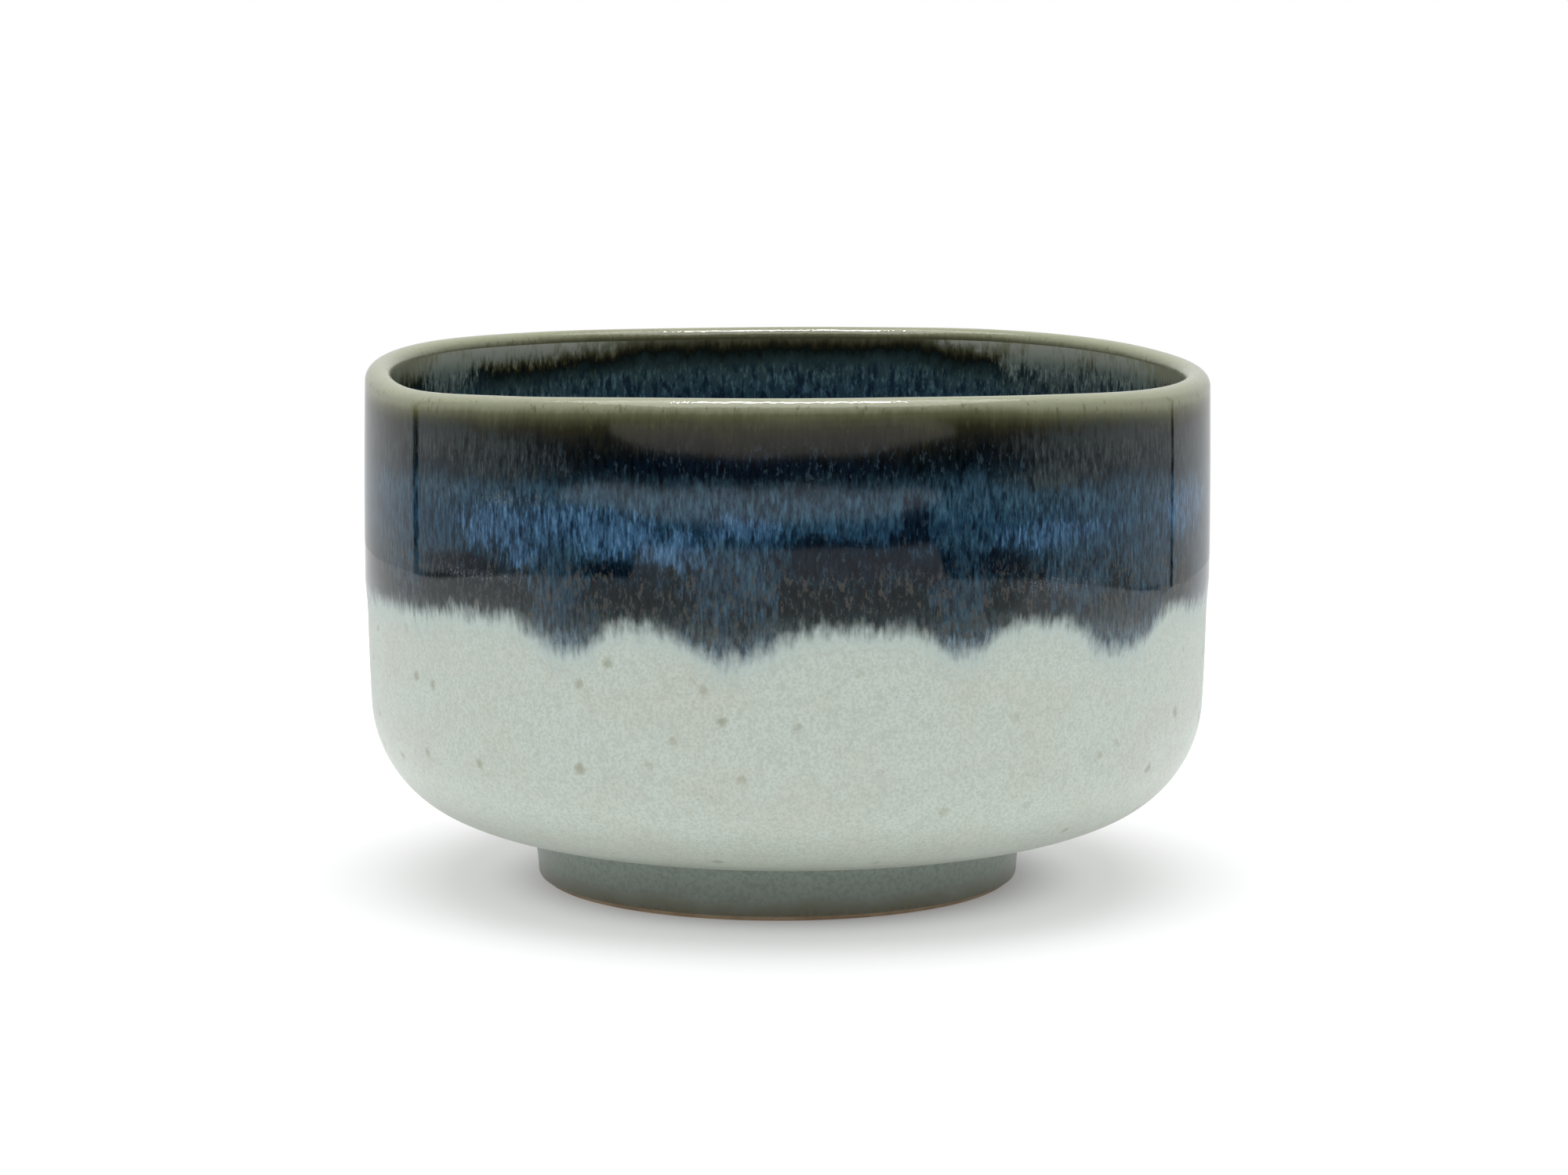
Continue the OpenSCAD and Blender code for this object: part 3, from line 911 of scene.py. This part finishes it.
def make_floor():
    """A round white sheet under the bowl, longer in front, that the camera sees as white."""
    around = 720
    turn = np.linspace(-180, 180, around, endpoint=False)
    aside = np.abs(turn)
    radius = (SHEET_R - SHEET_SHORTER_BACK * smooth(50, 115, aside)
              - SHEET_SHORTER_RIGHT * smooth(50, 110, turn)
              + SHEET_LONGER_FRONT * smooth(40, 36, aside))
    rim = [(r * math.sin(t), -r * math.cos(t), 0) for r, t in zip(radius, np.radians(turn))]
    mesh = bpy.data.meshes.new("floor")
    mesh.from_pydata([(0, 0, 0)] + rim, [],
                     [(0, i + 1, (i + 1) % around + 1) for i in range(around)])
    floor = bpy.data.objects.new("floor", mesh)
    bpy.context.scene.collection.objects.link(floor)
    mesh.materials.append(make_floor_material())


def make_floor_material():
    """White, with a soft shadow that is partly real and partly painted by a weaker glow under
    the bowl. The bowl sees it dimmer in front and behind than the camera.
    """
    p = Paint("floor_look")
    split = p.node("ShaderNodeSeparateXYZ")
    p.put(split.inputs[0], p.place)
    x, y, _ = split.outputs
    away = p.math("SQRT", p.add(p.times(x, x), p.times(y, y)))
    # painted shadow: the glow is weaker under the bowl
    glow = p.add(p.step(away, 26, 45, *NEAR_GLOW), p.step(away, 55, 85, 0.0, FAR_GLOW))
    aside = p.math("ABSOLUTE", p.azimuth(x, y))
    behind = p.blend(p.step(away, 120, 200), 1.0, p.step(aside, 80, 125, 1.0, BACK_DIM))
    mirrored = p.times(p.times(glow, p.step(y, -230, -160, FRONT_DIM, 1.0)), behind)
    p.set(Base_Color=FLOOR_GREY, Roughness=0.9, Specular_IOR_Level=0.0, Emission_Color=WHITE,
          Emission_Strength=p.blend(p.camera_ray(), mirrored, glow))
    return p.material


def ellipse(p, across, up, centre, half):
    """1 inside an ellipse of directions, with a crisp edge. half: across, upwards, downwards."""
    u = p.times(p.minus(across, centre[0]), 1 / half[0])
    above = p.minus(up, centre[1])
    v = p.math("MAXIMUM", p.times(above, 1 / half[1]), p.times(above, -1 / half[2]))
    return p.step(p.add(p.times(u, u), p.times(v, v)), 1.04, 0.96)


def make_world():
    """White all round for the camera. The bowl sees a dim room in front with two low bright
    windows, and a white sheet behind it, whose upright edges show as thin dark lines."""
    world = bpy.data.worlds.new("studio")
    bpy.context.scene.world = world
    world.use_nodes = True
    p = Nodes(world.node_tree)
    split = p.node("ShaderNodeSeparateXYZ")
    p.put(split.inputs[0], p.node("ShaderNodeTexCoord").outputs["Generated"])
    x, y, z = split.outputs
    across = p.azimuth(x, y)
    up = p.times(p.math("ARCSINE", z), DEGREES)
    aside = p.math("ABSOLUTE", across)
    colour = p.mix(p.step(aside, 45, 110), ROOM_FRONT, ROOM_SIDE)
    colour = p.mix(p.step(up, 4, 30), colour, ROOM_HIGH)
    colour = p.mix(ellipse(p, across, up, *HIGH_PLACE), colour, WINDOW_HIGH)
    colour = p.mix(ellipse(p, across, up, *LOW_PLACE), colour, WINDOW_LOW)
    left = p.math("LESS_THAN", across, 0.0)
    inward = p.minus(aside, p.blend(left, *EDGE_AZIMUTH))
    inward = p.times(inward, p.blend(left, *EDGE_THIN))
    colour = p.mix(p.step(inward, -0.9, -0.5), colour, BLACK)
    gap = p.step(p.minus(up, p.blend(left, *GAP_UP)), 0.02, 0.0)
    colour = p.mix(p.times(gap, p.step(aside, 70, 85)), colour, BLACK)
    colour = p.mix(p.step(inward, 0.3, 1.0), colour, SHEET)
    p.put(p.tree.nodes["Background"].inputs["Color"], p.mix(p.camera_ray(), colour, WHITE))


def make_light(name, place, aim, size, power):
    """A rectangular lamp that the camera doesn't see."""
    data = bpy.data.lights.new(name, "AREA")
    data.shape = "RECTANGLE"
    data.size, data.size_y = size
    data.energy = power
    lamp = bpy.data.objects.new(name, data)
    bpy.context.scene.collection.objects.link(lamp)
    lamp.location = place
    direction = np.array(aim) - np.array(place)
    lamp.rotation_euler = Vector(direction).to_track_quat("-Z", "Y").to_euler()
    lamp.visible_camera = False
    return lamp


def make_camera():
    """A long lens in front of the bowl, a little above its lip and looking slightly down."""
    distance, height, across = 0.6892, 0.13894, -0.0006
    pitch, roll = 8.045, -0.1
    data = bpy.data.cameras.new("camera")
    data.sensor_width = 36
    data.lens = 112.17
    data.clip_start = 0.01
    camera = bpy.data.objects.new("camera", data)
    bpy.context.scene.collection.objects.link(camera)
    camera.location = (across, -distance, height)
    camera.rotation_euler = (math.radians(90 - pitch), math.radians(roll), 0)
    bpy.context.scene.camera = camera


make_floor()
make_world()
make_light("softbox", (0.0, -0.1, 1.1), (0, 0, 0.04), (1.3, 1.3), 18)
gleam = make_light("lamp", (0.0, 0.12, 1.1), (0, 0.05, 0.07), (0.52, 0.07), 14.0)
gleam.visible_diffuse = False   # it only puts the gleam on the lip
make_camera()
bpy.context.scene.view_settings.view_transform = "Standard"
